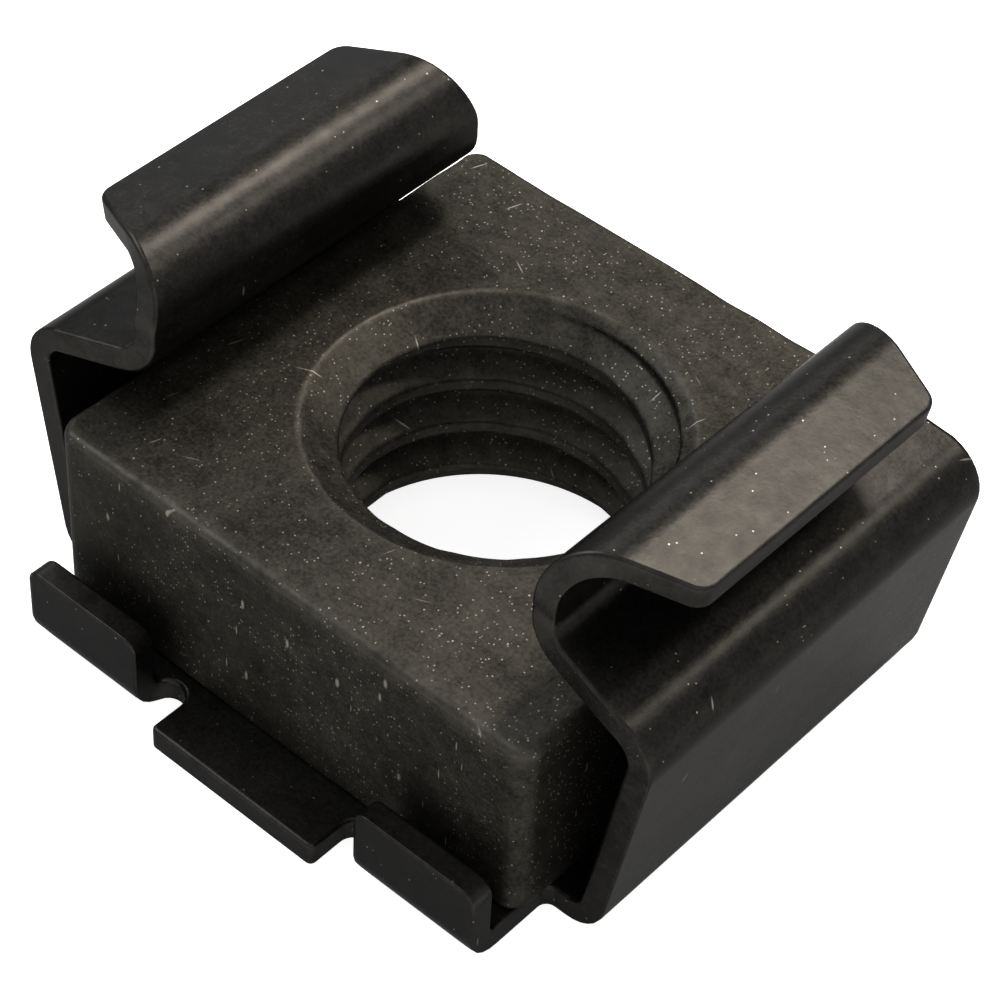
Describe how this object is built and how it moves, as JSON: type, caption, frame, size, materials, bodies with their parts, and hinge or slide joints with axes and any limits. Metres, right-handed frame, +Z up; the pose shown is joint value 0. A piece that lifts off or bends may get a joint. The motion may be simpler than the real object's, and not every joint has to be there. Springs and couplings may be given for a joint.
{
  "type": "rack cage nut",
  "caption": "Square nut held loosely in a folded spring-sheet cage with two hooked arms that snap into a square hole of an equipment rack.",
  "frame": {"origin": "on the thread's axis, on the underside of the cage's base plate", "axes": "+Z up from the base plate towards the rack panel, X across the two spring arms, Y along them"},
  "size_m": [0.0132, 0.0122, 0.0071],
  "materials": {
    "nut_steel": "matt dark phosphate on steel, speckled and lightly scratched",
    "spring_steel": "satin dark phosphate on spring steel"
  },
  "bodies": {
    "root": {"square_nut": "nut_steel", "spring_cage": "spring_steel"}
  },
  "joints": []
}
